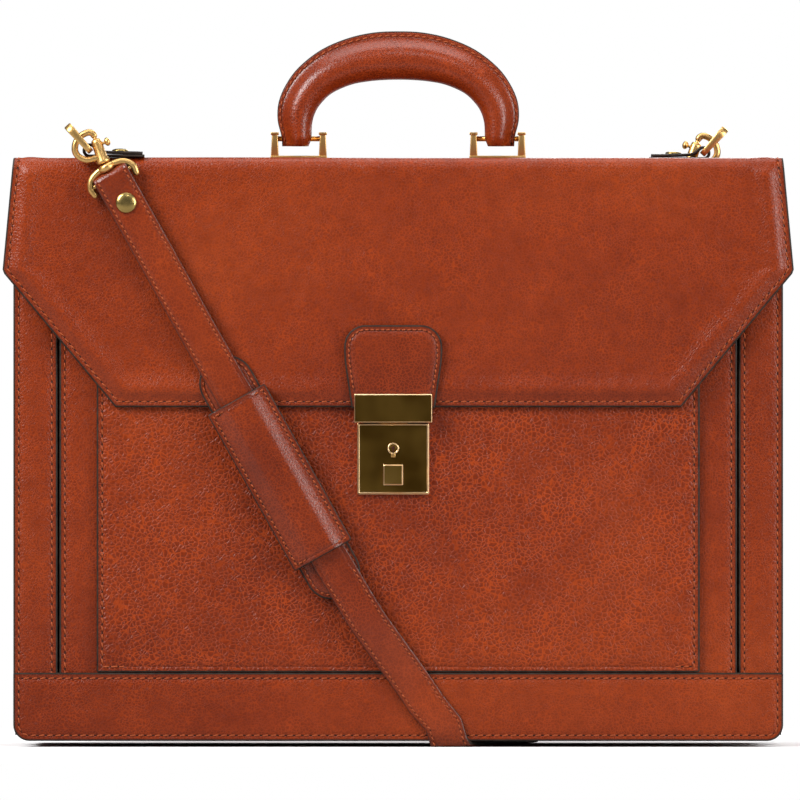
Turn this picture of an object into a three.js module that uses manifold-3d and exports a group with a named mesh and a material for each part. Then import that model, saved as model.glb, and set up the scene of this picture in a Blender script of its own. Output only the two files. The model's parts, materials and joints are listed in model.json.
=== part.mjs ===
// Leather briefcase with a lifting flap, a hinged handle, a press lock and a shoulder strap.
// Millimetres, +Z up, front towards -Y, origin on the floor under the middle.
import * as THREE from 'three';
import Module from 'manifold-3d';
import { mergeVertices } from 'three/addons/utils/BufferGeometryUtils.js';

const wasm = await Module();
wasm.setup();

// ---- driving dimensions ----
const HALF_W = 214.5;          // bag, half of its width
const HALF_D = 69.1;           // bag, half of its depth at the flap and the back
const TOP_Z = 328;             // top of the closed flap
const BOTTOM_Z = 3;            // underside of the bag, which stands on its strap
const HIDE = 3;                // thick outer hide
const LEATHER = 2.6;           // panels
const GAP = 0.3;               // clearance between neighbours
const CORNER = 9;              // bottom corner radius

const FLAP_FRONT_Y = -HALF_D;
const FLAP_EDGE_Z = 189;       // straight bottom edge of the flap
const FLAP_WIDE = 220.5;       // widest points of the flap, half width
const FLAP_WIDE_Z = 264.5;
const FLAP_EDGE_HALF = 157.6;
const HINGE_Y = 30;            // fold line across the top

const OUTER_Y = FLAP_FRONT_Y + HIDE + GAP;     // face of the bottom band and the slip pocket
const POCKET_Y = OUTER_Y + LEATHER + GAP;      // face of the pocket front and the side strips
const BAND_TOP_Z = 41;
const STRIP_IN = 190.5;
const POCKET_HALF = 188.2;
const SLIP_HALF = 168;
const SLIP_TOP_Z = 236;
const POCKET_TOP_Z = 250;
const WALL_TOP_Z = 296;
const INNER_Z = BOTTOM_Z + HIDE + GAP;         // bottom of what stands on the board
const MAIN_FRONT_Y = -41.2;
const DIVIDER_Y = 11.8;
const DIVIDER_HALF = 208;

const LOCK_X = -2.8;
const LOCK_Z = 160.4;
const LOCK_SIZE = 40;
const BUTTON_Z = 151.3;
const BUTTON_W = 11;
const KEY_Z = 166;

const BRACKET_X = 55.7;
const PIN_Z = 339.4;
const PIN_R = 1.5;
const HANDLE_D = 20;

const HOOK_X = -163.8;         // foot of the hook's barrel
const HOOK_Y = -73.4;
const HOOK_Z = 324.9;
const HOOK_TILT = 20;
const BARREL_R = 2.6;
const BARREL_H = 14.2;
const WIRE_R = 1.5;
const BAR_X = -172;            // bar of the ring that lies in the chape's fold
const BAR_Z = 332.1;
const RING_TILT = 42;
const RING_Y = -60.2;
const RING_W = 38;
const RING_L = 19.4;
const RING_WALL = 2;
const RING_H = 3.6;
const CHAPE_W = 18;

const STRAP_W = 21;
const STRAP_T = 2.7;
const FRONT_TILT = 29.2;
const BACK_TILT = 16.5;
const PIN_DROP = 12.3;         // bail pin below the hook's foot
const PAD_S = 188.2;           // middle of the shoulder pad along the strap

// ---- materials ----
const leather = () => new THREE.MeshStandardMaterial({ color: 0xa0481e, roughness: 0.45 });
const darkLeather = () => new THREE.MeshStandardMaterial({ color: 0x1c1614, roughness: 0.5 });
const lining = () => new THREE.MeshStandardMaterial({ color: 0x7a4a2a, roughness: 0.8 });
const brass = () => new THREE.MeshStandardMaterial({ color: 0xc99a45, roughness: 0.25, metalness: 1 });
const steel = () => new THREE.MeshStandardMaterial({ color: 0x9a9a9a, roughness: 0.4, metalness: 1 });

// ---- helpers ----
const briefcase = new THREE.Group();
const rad = THREE.MathUtils.degToRad;
const V = (x, y, z) => new THREE.Vector3(x, y, z);

function add(name, geometry, material, group = briefcase) {
  const mesh = new THREE.Mesh(geometry, material);
  mesh.name = name;
  group.add(mesh);
  return mesh;
}

function solid(geometry) {
  const bare = geometry.clone();
  bare.deleteAttribute('normal');
  bare.deleteAttribute('uv');
  const merged = mergeVertices(bare, 1e-4);
  const mesh = new wasm.Mesh({
    numProp: 3,
    vertProperties: new Float32Array(merged.attributes.position.array),
    triVerts: new Uint32Array(merged.index.array),
  });
  return new wasm.Manifold(mesh);
}

function geometryOf(manifold) {
  const mesh = manifold.getMesh();
  const geometry = new THREE.BufferGeometry();
  geometry.setAttribute('position', new THREE.BufferAttribute(mesh.vertProperties, 3));
  geometry.setIndex(new THREE.BufferAttribute(mesh.triVerts, 1));
  return geometry;
}

function join(first, ...others) {
  return geometryOf(others.reduce((sum, other) => sum.add(solid(other)), solid(first)));
}

function cut(first, ...others) {
  return geometryOf(others.reduce((rest, other) => rest.subtract(solid(other)), solid(first)));
}

function box(x0, x1, y0, y1, z0, z1) {
  const geometry = new THREE.BoxGeometry(x1 - x0, y1 - y0, z1 - z0);
  return geometry.translate((x0 + x1) / 2, (y0 + y1) / 2, (z0 + z1) / 2);
}

// A shape drawn in XZ and carried from y0 to y1.
function plateXZ(shape, y0, y1, options = {}) {
  const geometry = new THREE.ExtrudeGeometry(shape, { depth: y1 - y0, bevelEnabled: false, ...options });
  return geometry.applyMatrix4(new THREE.Matrix4().makeBasis(V(1, 0, 0), V(0, 0, 1), V(0, -1, 0)))
    .translate(0, y1, 0);
}

// A shape drawn in YZ and carried from x0 to x1.
function plateYZ(shape, x0, x1) {
  const geometry = new THREE.ExtrudeGeometry(shape, { depth: x1 - x0, bevelEnabled: false });
  return geometry.applyMatrix4(new THREE.Matrix4().makeBasis(V(0, 1, 0), V(0, 0, 1), V(1, 0, 0)))
    .translate(x0, 0, 0);
}

// A shape drawn in XY and carried from z0 to z1.
function plateXY(shape, z0, z1, options = {}) {
  return new THREE.ExtrudeGeometry(shape, { depth: z1 - z0, bevelEnabled: false, ...options }).translate(0, 0, z0);
}

function cylinderX(radius, x0, x1, y, z, sides = 16) {
  return new THREE.CylinderGeometry(radius, radius, x1 - x0, sides).rotateZ(Math.PI / 2)
    .translate((x0 + x1) / 2, y, z);
}

function cylinderY(radius, y0, y1, x, z, sides = 16) {
  return new THREE.CylinderGeometry(radius, radius, y1 - y0, sides).translate(x, (y0 + y1) / 2, z);
}

function cylinderZ(radius, z0, z1, x = 0, y = 0, sides = 16) {
  return new THREE.CylinderGeometry(radius, radius, z1 - z0, sides).rotateX(Math.PI / 2)
    .translate(x, y, (z0 + z1) / 2);
}

function wire(points, radius, steps, sides = 10) {
  const section = new THREE.Shape();
  for (let i = 0; i < sides; i += 1) {
    const angle = (i / sides) * Math.PI * 2;
    const move = i === 0 ? 'moveTo' : 'lineTo';
    section[move](radius * Math.cos(angle), radius * Math.sin(angle));
  }
  section.closePath();
  const path = new THREE.CatmullRomCurve3(points.map(([x, z]) => V(x, 0, z)));
  return new THREE.ExtrudeGeometry(section, { steps, extrudePath: path, bevelEnabled: false });
}

function roundedRect(x0, x1, z0, z1, radii) {
  const [bottom, top] = radii;
  const shape = new THREE.Shape();
  shape.moveTo(x0 + bottom, z0);
  shape.lineTo(x1 - bottom, z0);
  if (bottom) shape.absarc(x1 - bottom, z0 + bottom, bottom, -Math.PI / 2, 0);
  shape.lineTo(x1, z1 - top);
  if (top) shape.absarc(x1 - top, z1 - top, top, 0, Math.PI / 2);
  shape.lineTo(x0 + top, z1);
  if (top) shape.absarc(x0 + top, z1 - top, top, Math.PI / 2, Math.PI);
  shape.lineTo(x0, z0 + bottom);
  if (bottom) shape.absarc(x0 + bottom, z0 + bottom, bottom, Math.PI, Math.PI * 1.5);
  return shape;
}

const CURVE = { curveSegments: 6 };

// ---- body: hides, panels, gussets ----
function makeBody() {
  add('back_panel', plateXZ(roundedRect(-HALF_W, HALF_W, BOTTOM_Z, TOP_Z - HIDE - GAP, [CORNER, 0]),
    HALF_D - HIDE, HALF_D, CURVE), leather());
  add('top_rear_rim', box(-HALF_W, HALF_W, HINGE_Y + GAP, HALF_D, TOP_Z - HIDE, TOP_Z), leather());
  add('bottom_board', box(CORNER - HALF_W, HALF_W - CORNER, POCKET_Y + LEATHER + GAP, HALF_D - HIDE - GAP,
    BOTTOM_Z, BOTTOM_Z + HIDE), leather());
  add('bottom_band', plateXZ(roundedRect(-HALF_W, HALF_W, BOTTOM_Z, BAND_TOP_Z, [CORNER, 0]),
    OUTER_Y, OUTER_Y + LEATHER, CURVE), leather());

  const lockHoles = [
    box(LOCK_X - 7, LOCK_X + 7, -80, -50, BUTTON_Z - 7, BUTTON_Z + 7),
    box(LOCK_X - 11, LOCK_X + 11, -80, -50, 181, 203),
  ];
  const slip = box(-SLIP_HALF, SLIP_HALF, OUTER_Y, OUTER_Y + LEATHER, BAND_TOP_Z + GAP, SLIP_TOP_Z);
  add('slip_pocket_panel', cut(slip, ...lockHoles), leather());
  const front = box(-POCKET_HALF, POCKET_HALF, POCKET_Y, POCKET_Y + LEATHER, BOTTOM_Z, POCKET_TOP_Z);
  add('pocket_front_panel', cut(front, ...lockHoles), leather());

  for (const [side, sign] of [['left', -1], ['right', 1]]) {
    const strip = box(STRIP_IN, HALF_W, POCKET_Y, POCKET_Y + LEATHER, BOTTOM_Z + CORNER, WALL_TOP_Z);
    add(`side_strip_${side}`, strip.translate(sign < 0 ? -STRIP_IN - HALF_W : 0, 0, 0), leather());
  }
  add('main_front_panel', box(-DIVIDER_HALF, DIVIDER_HALF, MAIN_FRONT_Y, MAIN_FRONT_Y + LEATHER,
    INNER_Z, WALL_TOP_Z), leather());
  add('middle_divider', box(-DIVIDER_HALF, DIVIDER_HALF, DIVIDER_Y, DIVIDER_Y + LEATHER,
    INNER_Z, WALL_TOP_Z - 20), lining());
}

// A pleated side wall: a thick zigzag seen from above, folded inwards between its walls.
function pleats(stations, outer, fold, thick) {
  const shape = new THREE.Shape();
  const edge = (i) => (i % 2 ? outer - fold : outer);
  stations.forEach((y, i) => shape[i ? 'lineTo' : 'moveTo'](edge(i), y));
  for (let i = stations.length - 1; i >= 0; i -= 1) {
    shape.lineTo(edge(i) - thick, stations[i]);
  }
  return shape;
}

function makeGussets() {
  const inside = POCKET_Y + LEATHER + GAP;
  const back = HALF_D - HIDE - GAP;
  const mainMid = MAIN_FRONT_Y + LEATHER / 2;
  const divMid = DIVIDER_Y + LEATHER / 2;
  const wall = [inside, (inside + mainMid) / 2, mainMid, (mainMid + divMid) / 2, divMid, (divMid + back) / 2, back];
  const pocketBack = MAIN_FRONT_Y - GAP;
  const pocket = [inside, (inside + pocketBack) / 2, pocketBack];
  for (const [side, sign] of [['left', -1], ['right', 1]]) {
    const turn = (geometry) => (sign > 0 ? geometry : mirrored(geometry));
    add(`gusset_${side}`, turn(plateXY(pleats(wall, HALF_W - 1, 10, 2.2), INNER_Z, WALL_TOP_Z)), leather());
    add(`pocket_gusset_${side}`, turn(plateXY(pleats(pocket, POCKET_HALF - 1, 5, 2), INNER_Z, POCKET_TOP_Z - 6)),
      leather());
  }
}

// The mirror image of a solid across X, with its triangles turned to face out again.
function mirrored(geometry) {
  const flat = geometry.index ? geometry.toNonIndexed() : geometry.clone();
  flat.deleteAttribute('normal');
  flat.deleteAttribute('uv');
  const p = flat.attributes.position;
  for (let i = 0; i < p.count; i += 3) {
    const [x1, y1, z1] = [p.getX(i + 1), p.getY(i + 1), p.getZ(i + 1)];
    p.setXYZ(i, -p.getX(i), p.getY(i), p.getZ(i));
    p.setXYZ(i + 1, -p.getX(i + 2), p.getY(i + 2), p.getZ(i + 2));
    p.setXYZ(i + 2, -x1, y1, z1);
  }
  return flat;
}

// ---- flap with its tab and hasp ----
function makeFlap() {
  add('flap_top', box(-HALF_W, HALF_W, FLAP_FRONT_Y + HIDE + GAP, HINGE_Y, TOP_Z - HIDE, TOP_Z), leather());
  const outline = new THREE.Shape();
  outline.moveTo(-FLAP_EDGE_HALF, FLAP_EDGE_Z);
  outline.lineTo(FLAP_EDGE_HALF, FLAP_EDGE_Z);
  outline.lineTo(FLAP_WIDE, FLAP_WIDE_Z);
  outline.lineTo(HALF_W, TOP_Z);
  outline.lineTo(-HALF_W, TOP_Z);
  outline.lineTo(-FLAP_WIDE, FLAP_WIDE_Z);
  add('flap_front', plateXZ(outline, FLAP_FRONT_Y, FLAP_FRONT_Y + HIDE), leather());

  const tab = new THREE.Shape();
  const hasp = { z0: 180.5, z1: 196.3, half: 21.7 };
  tab.moveTo(-23.2, hasp.z1 + GAP);
  tab.lineTo(23.2, hasp.z1 + GAP);
  tab.lineTo(27.3, 218);
  tab.absarc(15.3, 222.7, 12, 0, Math.PI / 2);
  tab.absarc(-15.3, 222.7, 12, Math.PI / 2, Math.PI);
  tab.lineTo(-27.3, 218);
  const face = FLAP_FRONT_Y - GAP;
  add('lock_tab', plateXZ(tab, face - LEATHER, face, CURVE).translate(LOCK_X, 0, 0), leather());
  const plate = box(LOCK_X - hasp.half, LOCK_X + hasp.half, face - LEATHER, face, hasp.z0, hasp.z1);
  const staple = box(LOCK_X - 8, LOCK_X + 8, face - 1, -59.5, 183, 187);
  add('hasp', join(plate, staple), brass());
  add('handle_bar', box(-90, 90, -14, 14, TOP_Z - HIDE - GAP - 3, TOP_Z - HIDE - GAP), steel());
}

// ---- press lock ----
function makeLock() {
  const half = LOCK_SIZE / 2;
  const plateY = OUTER_Y - GAP;
  const plate = box(LOCK_X - half, LOCK_X + half, plateY - HIDE, plateY, LOCK_Z - half, LOCK_Z + half - 0.2);
  const buttonHole = box(LOCK_X - 6, LOCK_X + 6, -80, -50, BUTTON_Z - 6.3, BUTTON_Z + 6.3);
  const keyHole = cylinderY(3, -80, -50, LOCK_X, KEY_Z, 20);
  add('lock_plate', cut(plate, buttonHole, keyHole), brass());
  const plug = cylinderY(2.6, plateY - HIDE - 0.8, plateY - 0.4, LOCK_X, KEY_Z, 20);
  const slot = box(LOCK_X - 0.5, LOCK_X + 0.5, plateY - 6, plateY - HIDE + 1, KEY_Z - 2, KEY_Z + 1);
  add('key_plug', cut(plug, slot), brass());
  add('lock_button', join(
    box(LOCK_X - BUTTON_W / 2, LOCK_X + BUTTON_W / 2, plateY - 6, plateY - 0.4, BUTTON_Z - 5.8, BUTTON_Z + 5.8),
    box(LOCK_X - 3, LOCK_X + 3, plateY - 1, -59.4, BUTTON_Z - 3, BUTTON_Z + 3),
  ), brass());

  const inside = POCKET_Y + LEATHER + GAP;
  const shell = box(LOCK_X - 17, LOCK_X + 17, inside, inside + 7, LOCK_Z - 18, LOCK_Z + 16);
  const room = box(LOCK_X - 15, LOCK_X + 15, inside - 1, inside + 5.5, LOCK_Z - 16, LOCK_Z + 30);
  add('lock_case', cut(shell, room), steel());
  const catchBar = box(LOCK_X - 5, LOCK_X + 5, inside + 0.8, inside + 2.6, LOCK_Z - 2, 182.6);
  add('lock_catch', catchBar, steel());
}

// ---- handle with its brackets and pins ----
function makeHandle() {
  const outer = 65.2;
  const inner = 46.2;
  const shape = new THREE.Shape();
  const bevel = 5;
  shape.moveTo(-outer + bevel, 334.8 + bevel);
  shape.bezierCurveTo(-68.5 + bevel, 352, -72 + bevel, 399.6 - bevel, -28, 399.6 - bevel);
  shape.lineTo(28, 399.6 - bevel);
  shape.bezierCurveTo(72 - bevel, 399.6 - bevel, 68.5 - bevel, 352, outer - bevel, 334.8 + bevel);
  shape.lineTo(inner + bevel, 334.8 + bevel);
  shape.bezierCurveTo(47 + bevel, 352, 45 + bevel, 371.7 + bevel, 24, 371.7 + bevel);
  shape.lineTo(-24, 371.7 + bevel);
  shape.bezierCurveTo(-45 - bevel, 371.7 + bevel, -47 - bevel, 352, -inner - bevel, 334.8 + bevel);
  const rounded = {
    depth: HANDLE_D - 2 * bevel, bevelEnabled: true, bevelThickness: bevel, bevelSize: bevel,
    bevelSegments: 2, curveSegments: 8,
  };
  const grip = plateXZ(shape, -HANDLE_D / 2 + bevel, HANDLE_D / 2 - bevel, rounded);
  const bores = [-1, 1].map((sign) => cylinderX(PIN_R + 0.4, sign * BRACKET_X - 15, sign * BRACKET_X + 15, 0, PIN_Z));
  const legEnd = box(-80, 80, -30, 30, 320, PIN_Z);
  const rounding = cut(legEnd, cylinderX(9, -90, 90, 0, PIN_Z, 32));
  add('handle_grip', cut(grip, rounding, ...bores), leather());

  for (const [side, sign] of [['left', -1], ['right', 1]]) {
    const x = sign * BRACKET_X;
    const block = box(x - 15.8, x + 15.8, -6, 6, TOP_Z + GAP, 343);
    const opening = box(x - 11, x + 11, -7, 7, TOP_Z + GAP + 1.6, 350);
    const bore = cylinderX(PIN_R + GAP, x - 20, x + 20, 0, PIN_Z);
    add(`handle_bracket_${side}`, cut(block, opening, bore), brass());
    add(`handle_pin_${side}`, cylinderX(PIN_R, x - 15.8, x + 15.8, 0, PIN_Z), brass());
  }
}

// ---- one end of the strap: chape, ring, swivel hook and strap end ----
function makeStrapEnd(side, group, tilt) {
  const foldR = 3.8;
  const chapeShape = new THREE.Shape();
  chapeShape.moveTo(BAR_X, TOP_Z + GAP);
  chapeShape.lineTo(BAR_X + 32, TOP_Z + GAP);
  chapeShape.lineTo(BAR_X + 32, TOP_Z + GAP + 2);
  chapeShape.lineTo(BAR_X + 24, TOP_Z + GAP + 3);
  chapeShape.lineTo(BAR_X + 6, TOP_Z + GAP + 3.2);
  chapeShape.absarc(BAR_X, BAR_Z, foldR, 0.5, Math.PI * 1.5);
  const eye = new THREE.Path();
  eye.absarc(BAR_X, BAR_Z, 2.4, 0, Math.PI * 2, true);
  chapeShape.holes.push(eye);
  const chapeY = -HALF_D + GAP;
  add(`chape_${side}`, plateXZ(chapeShape, chapeY, chapeY + CHAPE_W, { curveSegments: 12 }), darkLeather(), group);
  const rivetTop = TOP_Z + GAP + 3.2 + GAP;
  const rivet = new THREE.CylinderGeometry(2.6, 4.5, 2, 16).rotateX(Math.PI / 2);
  add(`chape_rivet_${side}`, rivet.translate(BAR_X + 17, chapeY + CHAPE_W / 2, rivetTop + 1), brass(), group);

  const half = RING_W / 2;
  const bar = RING_WALL / 2;
  const ringShape = roundedRect(-half, half, -bar, RING_L - bar, [3, 4]);
  const windowShape = roundedRect(-half + RING_WALL, half - RING_WALL, bar, RING_L - bar - RING_WALL, [1, 2.5]);
  ringShape.holes.push(new THREE.Path(windowShape.getPoints(4).reverse()));
  const ring = plateXY(ringShape, -RING_H / 2, RING_H / 2, { curveSegments: 4 });
  ring.applyMatrix4(new THREE.Matrix4().makeBasis(V(0, 1, 0), V(-1, 0, 0), V(0, 0, 1)));
  const ringMesh = add(`ring_${side}`, ring, brass(), group);
  ringMesh.position.set(BAR_X, RING_Y, BAR_Z);
  ringMesh.rotation.y = rad(90 - RING_TILT);

  const hookFrame = new THREE.Group();
  hookFrame.position.set(HOOK_X, HOOK_Y, HOOK_Z);
  hookFrame.rotation.y = -rad(HOOK_TILT);
  group.add(hookFrame);
  const loop = wire([[-1.5, 4.4], [-7.5, 4.5], [-11.9, 8], [-12.8, 12], [-10.6, 16.3], [-6, 18.8], [-2, 19], [-0.2, 17.8],
    [0, 16.2]], WIRE_R, 24);
  const bore = cylinderZ(1.6, 1, BARREL_H + 1);
  const slot = box(0, 5, -1, 1, 3.4, 12.2);
  add(`hook_${side}`, cut(join(cylinderZ(BARREL_R, 0, BARREL_H), loop), bore, slot), brass(), hookFrame);
  const bolt = join(cylinderZ(1.25, 6.4, 15.4, 0, 0, 12), box(0.3, 4.2, -0.6, 0.6, 9.8, 11.4),
    new THREE.SphereGeometry(1.9, 10, 6).translate(5.2, 0, 10.6));
  add(`trigger_${side}`, bolt, brass(), hookFrame);

  const bailFrame = new THREE.Group();
  bailFrame.position.set(HOOK_X, HOOK_Y, HOOK_Z);
  bailFrame.rotation.y = -rad(tilt);
  group.add(bailFrame);
  const arm = 13.2;
  const arch = wire([[-arm, -13.8], [-arm, -8], [-9.5, -3.9], [-4, -2.6], [4, -2.6], [9.5, -3.9], [arm, -8],
    [arm, -13.8]], WIRE_R, 22);
  add(`bail_${side}`, join(arch, cylinderZ(3.4, -3.9, -1.2)), brass(), bailFrame);
  const pinReach = arm - WIRE_R - GAP;
  add(`bail_pin_${side}`, cylinderX(1.2, -pinReach, pinReach, 0, -PIN_DROP, 12), brass(), bailFrame);

  const strapFrame = new THREE.Group();
  strapFrame.position.z = -PIN_DROP;
  bailFrame.add(strapFrame);
  return strapFrame;
}

// A strap run drawn from its fold round the bail pin downwards: stations are [distance, middle in Y].
function strapShape(stations) {
  const shape = new THREE.Shape();
  const fold = 3.9;
  const half = STRAP_T / 2;
  shape.moveTo(fold, 0);
  shape.absarc(0, 0, fold, 0, Math.PI);
  shape.lineTo(-STRAP_T, -7);
  shape.lineTo(-STRAP_T, -34);
  stations.forEach(([s, y]) => shape.lineTo(y - half, -s));
  [...stations].reverse().forEach(([s, y]) => shape.lineTo(y + half, -s));
  shape.lineTo(STRAP_T, -34);
  shape.lineTo(STRAP_T, -7);
  const eye = new THREE.Path();
  eye.absarc(0, 0, 1.5, 0, Math.PI * 2, true);
  shape.holes.push(eye);
  return plateYZ(shape, -STRAP_W / 2, STRAP_W / 2);
}

// Takes away what would reach below the floor from a strap that leans by tilt.
function endAtFloor(run, tilt) {
  const drop = HOOK_Z - PIN_DROP * Math.cos(rad(tilt));
  const below = box(-200, 200, -40, 40, -100, 0).rotateY(rad(tilt));
  const shift = V(0, 0, -drop).applyAxisAngle(V(0, 1, 0), rad(tilt));
  return cut(run, below.translate(shift.x, shift.y, shift.z));
}

function makeStrap() {
  const frontGroup = new THREE.Group();
  const backGroup = new THREE.Group();
  backGroup.rotation.z = Math.PI;
  briefcase.add(frontGroup, backGroup);
  const front = makeStrapEnd('left', frontGroup, FRONT_TILT);
  const back = makeStrapEnd('right', backGroup, BACK_TILT);

  const overPad = -0.25;
  const lowY = OUTER_Y - GAP - STRAP_T / 2 - HOOK_Y;
  const frontRun = strapShape([[40, overPad], [272, overPad], [325, lowY], [390, lowY]]);
  add('strap_front_run', endAtFloor(frontRun, FRONT_TILT), leather(), front);
  const backY = -HALF_D - GAP - STRAP_T / 2 - HOOK_Y;
  add('strap_back_run', endAtFloor(strapShape([[40, backY], [340, backY]]), BACK_TILT), leather(), back);
  for (const [side, frame] of [['left', front], ['right', back]]) {
    const cap = new THREE.CylinderGeometry(5.8, 3.6, 1.8, 20).translate(0, -STRAP_T - GAP - 0.9, -13);
    add(`strap_rivet_${side}`, cap, brass(), frame);
  }

  const frontX = HOOK_X + HOOK_Z * Math.tan(rad(FRONT_TILT));
  const backX = -HOOK_X - HOOK_Z * Math.tan(rad(BACK_TILT));
  const reach = HALF_D - 4;
  const under = new THREE.Shape();
  under.moveTo(frontX - STRAP_W / 2, -reach);
  under.lineTo(frontX + STRAP_W / 2, -reach);
  under.lineTo(backX + STRAP_W / 2, reach + 3);
  under.lineTo(backX - STRAP_W / 2, reach + 3);
  add('strap_under_run', plateXY(under, 0, STRAP_T), leather());

  const sleeve = box(-17.2, 17.2, -4.6, -2, -PAD_S - 49.5, -PAD_S + 49.5);
  add('pad_sleeve', sleeve, leather(), front);
  const base = plateXZ(roundedRect(-15.5, 15.5, -PAD_S - 75.5, -PAD_S + 75.5, [15, 15]), 1.4, 4, CURVE);
  add('pad_base', base, leather(), front);
}

makeBody();
makeGussets();
makeFlap();
makeLock();
makeHandle();
makeStrap();

export default briefcase;
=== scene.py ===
"""Leather briefcase: the visible pieces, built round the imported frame. Local lengths are in millimetres."""
import json
import math

import bmesh
import bpy
import numpy as np
from mathutils import Matrix, Vector

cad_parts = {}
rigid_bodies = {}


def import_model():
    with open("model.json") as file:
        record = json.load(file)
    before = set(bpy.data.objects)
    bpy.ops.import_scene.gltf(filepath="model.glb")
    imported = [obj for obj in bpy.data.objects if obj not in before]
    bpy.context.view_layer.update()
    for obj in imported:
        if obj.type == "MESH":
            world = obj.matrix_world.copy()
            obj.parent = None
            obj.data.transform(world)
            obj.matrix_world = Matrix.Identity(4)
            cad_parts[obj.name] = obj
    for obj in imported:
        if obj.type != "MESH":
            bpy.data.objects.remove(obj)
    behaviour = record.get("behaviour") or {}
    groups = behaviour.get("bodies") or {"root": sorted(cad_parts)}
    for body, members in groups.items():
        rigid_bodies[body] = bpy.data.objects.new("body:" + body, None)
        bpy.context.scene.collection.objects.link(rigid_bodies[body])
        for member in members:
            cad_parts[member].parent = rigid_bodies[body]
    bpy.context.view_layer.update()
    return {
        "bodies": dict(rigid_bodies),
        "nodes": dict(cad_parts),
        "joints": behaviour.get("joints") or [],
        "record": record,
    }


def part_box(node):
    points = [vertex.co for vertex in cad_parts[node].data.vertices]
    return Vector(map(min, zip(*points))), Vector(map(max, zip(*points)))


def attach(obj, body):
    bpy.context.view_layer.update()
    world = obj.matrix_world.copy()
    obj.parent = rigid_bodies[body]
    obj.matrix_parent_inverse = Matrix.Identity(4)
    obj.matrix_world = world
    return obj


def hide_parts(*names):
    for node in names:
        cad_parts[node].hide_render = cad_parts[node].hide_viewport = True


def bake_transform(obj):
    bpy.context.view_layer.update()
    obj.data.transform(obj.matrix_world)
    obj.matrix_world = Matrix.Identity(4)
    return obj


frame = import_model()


def node_box(node):
    """A CAD node's box in millimetres."""
    low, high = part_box(node)
    return [c * 1000 for c in low], [c * 1000 for c in high]


# ---- sizes taken from the frame ----
FLAP_LOW, FLAP_HIGH = node_box("flap_front")
BACK_LOW, BACK_HIGH = node_box("back_panel")
SLIP_LOW, SLIP_HIGH = node_box("slip_pocket_panel")
LOCK_LOW, LOCK_HIGH = node_box("lock_plate")
HASP_LOW, HASP_HIGH = node_box("hasp")

HALF_W = BACK_HIGH[0]
HALF_D = BACK_HIGH[1]
TOP_Z = FLAP_HIGH[2]
BOTTOM_Z = BACK_LOW[2]
HIDE = 3.0
LEATHER = 2.6
GAP = 0.3
CORNER = 9                 # radius of the bag's bottom corners
SEW_IN = 3.1               # from a cut edge to its stitch line
LOCK_X = (LOCK_LOW[0] + LOCK_HIGH[0]) / 2

# strap ends, as in the CAD frame
HOOK = Vector((-163.8, -73.4, 324.9))
HOOK_TILT = math.radians(20)
FRONT_TILT = math.radians(29.2)
BACK_TILT = math.radians(16.5)
PIN_DROP = 12.3
KEY_Z = 166                # height of the key plug
HANDLE_PIN_Z = 339.4
# these lay a turned piece's axis along X, or to -Y
TO_SIDE = Matrix.Rotation(math.radians(90), 4, "Y")
TO_FRONT = Matrix.Rotation(math.radians(90), 4, "X")
FOLD_UP = 3.2              # the fold sits this much nearer the swivel than the CAD pin
BAR = Vector((-172, -60.2, 332.1))
RING_TILT = math.radians(48)
STRAP_W = 21.0
DRIFT = 10.0               # how far the strap has swung aside by the time it reaches the bottom
STRAP_T = 2.7
PAD_S = 188.2              # from the bail's pin down the strap to the middle of the pad
STITCH_PITCH = 4.6
STRAP_PITCH = 3.3


# ---- materials ----
def material(name):
    mat = bpy.data.materials.new(name)
    mat.use_nodes = True
    tree = mat.node_tree
    shader = tree.nodes["Principled BSDF"]
    coords = tree.nodes.new("ShaderNodeTexCoord").outputs["Object"]
    return mat, tree, shader, coords


def texture(tree, kind, coords, scale, **inputs):
    node = tree.nodes.new(kind)
    tree.links.new(coords, node.inputs["Vector"])
    node.inputs["Scale"].default_value = scale
    for key, value in inputs.items():
        node.inputs[key.replace("_", " ")].default_value = value
    return node


def ramp(tree, value, stops):
    node = tree.nodes.new("ShaderNodeValToRGB")
    tree.links.new(value, node.inputs["Fac"])
    while len(node.color_ramp.elements) < len(stops):
        node.color_ramp.elements.new(0.5)
    for element, (place, colour) in zip(node.color_ramp.elements, stops):
        element.position = place
        element.color = (*colour, 1) if len(colour) == 3 else colour
    return node.outputs["Color"]


def mix(tree, fac, a, b, blend="MIX"):
    node = tree.nodes.new("ShaderNodeMix")
    node.data_type = "RGBA"
    node.blend_type = blend
    for socket, value in ((node.inputs[0], fac), (node.inputs[6], a), (node.inputs[7], b)):
        if hasattr(value, "is_output"):
            tree.links.new(value, socket)
        else:
            socket.default_value = value
    return node.outputs[2]


def bump(tree, height, strength, distance, before=None):
    node = tree.nodes.new("ShaderNodeBump")
    node.inputs["Strength"].default_value = strength
    node.inputs["Distance"].default_value = distance
    tree.links.new(height, node.inputs["Height"])
    if before is not None:
        tree.links.new(before, node.inputs["Normal"])
    return node.outputs["Normal"]


def spread_roughness(tree, shader, noise, limits):
    """Lets a noise carry the roughness between two limits."""
    gloss = tree.nodes.new("ShaderNodeMapRange")
    tree.links.new(noise.outputs["Fac"], gloss.inputs["Value"])
    gloss.inputs["To Min"].default_value, gloss.inputs["To Max"].default_value = limits
    tree.links.new(gloss.outputs["Result"], shader.inputs["Roughness"])


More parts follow.
